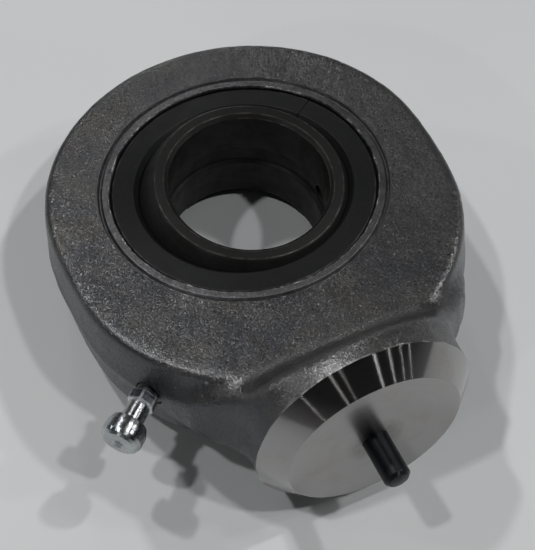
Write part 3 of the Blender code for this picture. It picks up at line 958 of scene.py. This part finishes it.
def forged_finish():
    """Blasted forging: dark grey steel grain with glints, small pits, edges lightened by wear and partly
    as painted highlights, and painted highlights on the right side and on the shank's swell.
    """
    paint = Finish("forged_steel")
    grain = paint.noise(0.22, 2.0, 0.65)
    pits = paint.cells(1.3)
    wall = paint.spread(paint.facing(UP), 0.45, 0.85, 1.0, 0.0)
    top = paint.math("SUBTRACT", 1.0, wall)
    patches = paint.spread(paint.noise(8.0), 0.35, 0.65)
    rust = paint.spread(paint.noise(3.5, 2.0, 0.5), 0.45, 0.75, 0.0, 0.3)
    # Painted highlight: the colour grows lighter towards the housing's right side (+X), standing in for a
    # lamp's broad highlight there.
    right_side_painted_highlight = paint.spread(paint.dot(paint.place, (0.85, 0.2, 0.0)), 5.0, 30.0, 0.0, 0.8)
    bare_grain = paint.spread(grain, 0.42, 0.7, 0.0, 0.45)
    pitted = paint.times(paint.spread(pits, 0.1, 0.24, 0.5, 0.0), top)
    along = paint.dot(paint.place, SHANK_AXIS)
    # Painted highlight: the upper face of the shank's swell, 30 to 36 mm out, is lightened to stand in for
    # a lamp's glint on its crest.
    boss_painted_highlight = paint.times(paint.spread(along, 30.0, 36.0, 0.0, 0.5), top)
    cone_edge = WELD_FACE - WELD_CHAMFER
    torn = paint.times(paint.spread(along, cone_edge - 0.6, cone_edge - 0.1),
                       paint.spread(paint.noise(2.0, 3.0, 0.7), 0.46, 0.6))
    level = paint.math("ABSOLUTE", paint.dot(paint.place, UP))
    on_rim = paint.between(level, EYE_HALF - 1.6, EYE_HALF - 1.0, EYE_HALF + 0.3, EYE_HALF + 0.8)
    # Rim edges lightened partly by wear and partly as a painted highlight along the rounded rims.
    wear_and_painted_highlight = paint.times(paint.edges(0.54, 0.64), paint.times(on_rim, 0.55))
    steel = paint.layered((0.08, 0.082, 0.089), [
        (patches, (0.114, 0.113, 0.111)),
        (rust, (0.11, 0.092, 0.072)),
        (right_side_painted_highlight, (0.17, 0.17, 0.17)),
        (bare_grain, (0.25, 0.246, 0.243)),
        (paint.times(wall, 0.6), (0.078, 0.08, 0.088)),
        (pitted, (0.03, 0.03, 0.03)),
        (boss_painted_highlight, (0.24, 0.238, 0.235)),
        (paint.times(torn, top), (0.6, 0.6, 0.6)),
        (wear_and_painted_highlight, (0.5, 0.49, 0.48)),
    ])
    relief = paint.math("MULTIPLY_ADD", paint.noise(0.75, 2.0, 0.5), 0.6, grain)
    normal = paint.bump(relief, 0.042)
    normal = paint.bump(paint.times(paint.spread(pits, 0.08, 0.26), top), 0.025, normal)
    return paint.finish(base_color=steel, metallic=0.92, normal=paint.sparkle(0.17, 0.24, normal),
                        roughness=paint.spread(grain, 0.3, 0.7, 0.4, 0.27))


def lip_finish():
    """Staked lip: a pressed grey band, its edges torn and bright, the bright lines partly painted
    highlights.
    """
    paint = Finish("staked_lip")
    marks, tangent = paint.turning(UP, 0.12, 2.0)
    torn = paint.noise(0.5, 3.0, 0.65)
    grime = paint.spread(paint.noise(2.6), 0.45, 0.7, 0.0, 0.6)
    # Both edge lines are lightened: partly torn and pressed metal, partly painted highlight lines along
    # the edges.
    inner_tear_and_highlight = paint.times(paint.rim(LIP_OPENING_R, EYE_HALF - 0.1, 0.2),
                             paint.spread(paint.noise(1.3, 3.0, 0.7), 0.5, 0.62))
    outer_ridge_and_highlight = paint.times(paint.rim(STAKE_R + STAKE_HALF, EYE_HALF - 0.02, 0.12),
                             paint.spread(paint.noise(5.0, 3.0, 0.7), 0.38, 0.6, 0.1, 0.8))
    steel = paint.layered((0.125, 0.125, 0.13), [
        (paint.spread(torn, 0.4, 0.66), (0.2, 0.2, 0.205)),
        (grime, (0.07, 0.067, 0.064)),
        (paint.math("MAXIMUM", inner_tear_and_highlight, outer_ridge_and_highlight), (0.6, 0.59, 0.58)),
    ])
    relief = paint.math("MULTIPLY_ADD", marks, 0.5, torn)
    normal = paint.sparkle(0.22, 0.12, paint.bump(relief, 0.03))
    return paint.finish(base_color=steel, metallic=1.0, normal=normal, tangent=tangent,
                        roughness=paint.spread(torn, 0.35, 0.7, 0.46, 0.34))


def turned_finish():
    """Freshly turned weld face and chamfer: fine rings that draw light into streaks."""
    paint = Finish("turned_steel")
    axis = -SHANK_AXIS
    marks, tangent = paint.turning(axis, 0.07, 0.5)
    coarse = paint.turning(axis, 0.5, 0.8)[0]
    haze = paint.spread(paint.noise(5.0, 3.0, 0.55), 0.5, 0.72, 0.0, 0.4)
    radius = paint.lathe(axis)[1]
    # Grime and painted shade: darker around the pin's root on the weld face, where the pin shades it.
    grime = paint.times(paint.spread(radius, 2.1, 5.2, 0.9, 0.0), paint.noise(0.8))
    steel = paint.layered((0.36, 0.355, 0.35), [
        (paint.spread(marks, 0.35, 0.65), (0.385, 0.38, 0.375)),
        (haze, (0.33, 0.285, 0.265)),
        (paint.spread(coarse, 0.4, 0.7, 0.0, 0.1), (0.25, 0.245, 0.245)),
        (grime, (0.1, 0.09, 0.08)),
    ])
    normal = paint.bump(marks, 0.0012)
    flat = paint.spread(paint.facing(SHANK_AXIS), 0.85, 0.95)
    streak = paint.node("ShaderNodeBsdfAnisotropic", {
        "Color": steel, "Roughness": paint.ease(flat, 0.24, 0.3), "Normal": normal,
        "Anisotropy": paint.ease(flat, 0.9, 0.55), "Tangent": tangent})
    paint.mix_in(paint.ease(flat, 0.2, 0.5), streak)
    return paint.finish(base_color=steel, metallic=1.0, normal=normal,
                        roughness=paint.ease(flat, 0.1, 0.24))


def drilled_finish():
    """Drilled holes and spot face, darkened by cutting oil."""
    paint = Finish("drilled_steel")
    swirl = paint.noise(0.4)
    return paint.finish(base_color=paint.blend(swirl, (0.1, 0.1, 0.105), (0.24, 0.235, 0.23)),
                        metallic=0.95, roughness=paint.spread(swirl, 0.3, 0.7, 0.5, 0.35),
                        normal=paint.bump(swirl, 0.05))


def phosphate_finish(name, dark, pale, pitch, worn_rims):
    """Black phosphated bearing steel: ground rings under the coating, edges rubbed bare."""
    paint = Finish(name)
    marks, tangent = paint.turning(UP, pitch, 1.2)
    cloud = paint.noise(3.0)
    speck = paint.noise(0.22, 2.0, 0.6)
    edge = 0.0
    for radius, height in worn_rims:
        edge = paint.math("MAXIMUM", edge, paint.rim(radius, height, 0.2))
    edge = paint.times(edge, paint.spread(paint.noise(2.2, 3.0, 0.7), 0.42, 0.68, 0.1, 1.0))
    coat = paint.layered(dark, [
        (paint.spread(cloud, 0.3, 0.7), pale),
        (paint.spread(marks, 0.5, 0.75, 0.0, 0.4), tuple(1.6 * part for part in pale)),
        (paint.spread(speck, 0.6, 0.72, 0.0, 0.35), (0.05, 0.048, 0.046)),
        (paint.times(edge, 0.4), (0.16, 0.145, 0.13)),
    ])
    relief = paint.math("MULTIPLY_ADD", marks, 0.5, speck)
    rough = paint.math("MULTIPLY_ADD", edge, -0.15, paint.spread(cloud, 0.3, 0.7, 0.5, 0.38))
    return paint.finish(base_color=coat, metallic=0.25, roughness=rough, normal=paint.bump(relief, 0.02),
                        tangent=tangent, anisotropic=0.4, anisotropic_rotation=0.25,
                        specular_ior_level=0.32)


def zinc_finish():
    """Bright zinc plate with turning marks; hexagon edges lightened by wear and partly as painted
    highlights, on a duller hexagon; the thread below painted dark as shade.
    """
    paint = Finish("bright_zinc")
    marks, tangent = paint.turning(UP, 0.09, 1.5)
    film = paint.noise(1.2)
    skin = paint.noise(0.28, 2.0, 0.6)
    along, radius = paint.lathe(UP)[:2]
    base = NIPPLE_HEX_BASE
    top = NIPPLE_HEX_TOP
    flat_r = 0.5 * NIPPLE_HEX_FLATS
    # Painted shade: the thread below the hexagon, in the gap by the housing, is painted near black and
    # made dull.
    thread_painted_shade = paint.spread(along, base - 0.15, base, 1.0, 0.0)
    hexagon = paint.between(along, base - 0.05, base + 0.05, top, top + 0.05)
    flats = paint.times(paint.between(along, base + 0.06, base + 0.2, top - 0.4, top - 0.26),
                        paint.spread(radius, 1.08 * flat_r, 1.13 * flat_r, 1.0, 0.0))
    outline = paint.math("SUBTRACT", hexagon, flats)
    # Hexagon edges lightened partly by wear and partly as painted highlights, standing in for lamp glints
    # on the bevels.
    wear_and_painted_highlight = paint.times(outline, paint.spread(paint.noise(0.7, 2.0, 0.5), 0.38, 0.6, 0.3, 0.95))
    zinc = paint.layered((0.42, 0.46, 0.49), [
        (paint.spread(film, 0.35, 0.65), (0.54, 0.55, 0.545)),
        (paint.spread(skin, 0.55, 0.75, 0.0, 0.5), (0.24, 0.25, 0.26)),
        (wear_and_painted_highlight, (0.9, 0.92, 0.95)),
        (paint.times(flats, 0.8), (0.26, 0.285, 0.35)),
        (paint.times(thread_painted_shade, 0.9), (0.03, 0.03, 0.032)),
    ])
    relief = paint.math("MULTIPLY_ADD", marks, 0.3, skin)
    rough = paint.spread(film, 0.3, 0.7, 0.23, 0.33)
    rough = paint.math("MULTIPLY_ADD", outline, 0.16, paint.math("MULTIPLY_ADD", thread_painted_shade, 0.2, rough))
    plain = paint.math("MAXIMUM", thread_painted_shade, hexagon)
    return paint.finish(base_color=zinc, metallic=1.0, roughness=rough, normal=paint.bump(relief, 0.025),
                        tangent=tangent, anisotropic=paint.ease(plain, 0.85, 0.0),
                        anisotropic_rotation=0.25)


def oxide_finish():
    """Black oxide over a ground dowel pin, blue-black, with rubbed edges."""
    paint = Finish("black_oxide")
    marks, tangent = paint.turning(UP, 0.1, 1.5)
    film = paint.noise(1.5)
    coat = paint.layered((0.003, 0.004, 0.006), [
        (paint.spread(film, 0.3, 0.7), (0.007, 0.009, 0.013)),
        (paint.times(paint.edges(0.53, 0.62), 0.6), (0.09, 0.105, 0.13)),
    ])
    return paint.finish(base_color=coat, metallic=0.5, roughness=paint.spread(film, 0.3, 0.7, 0.34, 0.48),
                        normal=paint.bump(marks, 0.008), tangent=tangent, anisotropic=0.4,
                        anisotropic_rotation=0.25)


def grease_finish():
    """Amber grease, wet and slightly cloudy, greyed by fine metal dust."""
    paint = Finish("grease")
    cloud = paint.noise(0.9)
    amber = paint.layered((0.3, 0.17, 0.05), [
        (cloud, (0.5, 0.33, 0.12)),
        (paint.spread(paint.noise(0.2, 2.0, 0.6), 0.6, 0.75, 0.0, 0.6), (0.08, 0.07, 0.06)),
    ])
    return paint.finish(base_color=amber, roughness=paint.spread(cloud, 0.3, 0.7, 0.12, 0.3),
                        normal=paint.bump(paint.noise(0.5, 2.0, 0.5), 0.08), subsurface_weight=0.25,
                        subsurface_scale=MM)


def bright_finish(name, dark, pale, size, depth, roughness):
    """Plain hardened steel with a fine drawn or lapped texture."""
    paint = Finish(name)
    marks = paint.noise(size)
    steel = paint.blend(paint.spread(marks, 0.35, 0.65), dark, pale)
    return paint.finish(base_color=steel, metallic=1.0, normal=paint.bump(marks, depth),
                        roughness=paint.spread(marks, 0.3, 0.7, roughness, roughness + 0.12))


def table_finish():
    """Pale, faintly glossy board. It is seen through from below."""
    paint = Finish("pale_table")
    cloud = paint.spread(paint.noise(60.0, 2.0, 0.5), 0.3, 0.7)
    board = paint.blend(cloud, (0.7, 0.715, 0.725), (0.73, 0.74, 0.745))
    paint.mix_in(paint.node("ShaderNodeNewGeometry", out="Backfacing"),
                 paint.node("ShaderNodeBsdfTransparent"))
    return paint.finish(base_color=board, roughness=0.42,
                        normal=paint.bump(paint.noise(0.6, 2.0, 0.5), 0.01))


# ---- stage ----

def build_table():
    """A wide plane that touches the shank's rim and the eye's far edge."""
    half = TABLE_HALF
    corners = [(-half, -half, 0.0), (half, -half, 0.0), (half, half, 0.0), (-half, half, 0.0)]
    table = in_scene("table", to_mesh("table", corners, [(0, 1, 2, 3)]),
                     placed(lean_onto(TABLE_NORMAL), TABLE_POINT))
    table.data.materials.append(table_finish())


def build_lamps():
    """Small lamps overhead: the four strong ones throw the shadows, the rest only glint."""
    lamps = [
        ("lamp_front", (0.360, -0.400, 0.845), 6.7),
        ("lamp_right", (0.588, -0.039, 0.808), 6.9),
        ("lamp_back", (-0.190, 0.405, 0.895), 6.7),
        ("lamp_left", (-0.375, 0.030, 0.925), 6.7),
        ("glint_right", (0.720, -0.350, 0.600), 2.2),
        ("glint_low_right", (0.830, -0.220, 0.510), 2.2),
        ("glint_back_left", (-0.742, 0.446, 0.500), 1.9),
        ("glint_front_left", (-0.742, -0.446, 0.500), 1.7),
        ("glint_back", (0.200, 0.840, 0.500), 1.9),
    ]
    for name, direction, power in lamps:
        data = bpy.data.lights.new(name, "AREA")
        data.shape = "DISK"
        data.size = MM * LAMP_SIZE
        data.energy = power
        towards = Vector(direction).normalized()
        in_scene(name, data, placed(turn_onto(towards), LAMP_DISTANCE * towards))


def build_world():
    """A nearly dark room; the camera itself sees a pale backdrop."""
    world = bpy.data.worlds.new("room")
    world.use_nodes = True
    bpy.context.scene.world = world
    room = Nodes(world.node_tree)
    height = room.dot(room.node("ShaderNodeTexCoord", out="Generated"), TABLE_NORMAL)
    glow = room.node("ShaderNodeValToRGB", {"Fac": height})
    elements = glow.node.color_ramp.elements
    elements[0].position, elements[1].position = ROOM_GLOW[0][0], ROOM_GLOW[-1][0]
    for position, level in ROOM_GLOW[1:-1]:
        elements.new(position)
    for element, (position, level) in zip(elements, ROOM_GLOW):
        element.color = (level, level, 1.02 * level, 1.0)
    mixed = room.node("ShaderNodeMixShader", {
        0: room.node("ShaderNodeLightPath", out="Is Camera Ray"),
        1: room.node("ShaderNodeBackground", {"Color": glow}),
        2: room.node("ShaderNodeBackground", {"Color": BACKDROP})})
    room.tree.links.new(mixed, room.tree.nodes["World Output"].inputs["Surface"])


def build_camera():
    """The pinhole camera that was fitted to the photograph."""
    data = bpy.data.cameras.new("camera")
    data.lens = CAMERA_LENS
    data.sensor_width = SENSOR
    data.clip_start = 0.01
    turn = Matrix((CAMERA_RIGHT, CAMERA_UP, CAMERA_RIGHT.cross(CAMERA_UP))).transposed().to_4x4()
    bpy.context.scene.camera = in_scene("camera", data, placed(turn, CAMERA_AT))


# ---- assembly ----

def build_pieces():
    """Every visible piece, riding a body in place of the CAD node that it redraws."""
    finishes = {"forged": forged_finish(), "lip": lip_finish(), "turned": turned_finish(),
                "drilled": drilled_finish()}
    outer_coat = phosphate_finish(
        "phosphated_outer", dark=(0.005, 0.0053, 0.0058), pale=(0.01, 0.0104, 0.011), pitch=0.16,
        worn_rims=[(OUTER_R - OUTER_EDGE, OUTER_HALF_WIDTH)])
    inner_coat = phosphate_finish(
        "phosphated_inner", dark=(0.0075, 0.0073, 0.007), pale=(0.015, 0.0146, 0.0142), pitch=0.11,
        worn_rims=[(BORE_R, INNER_HALF_WIDTH - INNER_EDGE), (BORE_R + INNER_EDGE, INNER_HALF_WIDTH),
                   (INNER_FACE_R, INNER_HALF_WIDTH)])
    grease = grease_finish()
    on_ball = placed(lean_onto(INNER_AXIS))
    ball_steel = bright_finish("ball_steel", dark=(0.2, 0.2, 0.21), pale=(0.3, 0.3, 0.31),
                               size=0.12, depth=0.002, roughness=0.12)
    wire = bright_finish("spring_wire", dark=(0.28, 0.29, 0.31), pale=(0.44, 0.44, 0.45),
                         size=0.08, depth=0.004, roughness=0.24)
    pieces = [
        (build_housing(finishes), "housing", "housing"),
        (build_outer_ring(outer_coat), "outer_ring", "housing"),
        (build_inner_ring(inner_coat), "inner_ring", "inner_ring"),
        (build_grease("grease_in_race", RACE_GREASE, grease, placed()), "race_grease", "race_grease"),
        (build_grease("grease_on_ball", BALL_GREASE, grease, on_ball), "ball_grease", "ball_grease"),
        (build_pin(oxide_finish()), "centering_pin", "housing"),
        (build_nipple(zinc_finish()), "nipple_body", "housing"),
        (build_check_ball(ball_steel), "nipple_check_ball", "check_ball"),
        (build_spring(wire), "nipple_spring", "housing"),
    ]
    for piece, node, body in pieces:
        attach(piece, body)
        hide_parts(node)
    spring = pieces[-1][0]
    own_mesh(spring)


build_pieces()
build_table()
build_lamps()
build_world()
build_camera()
bpy.context.scene.view_settings.view_transform = "Standard"
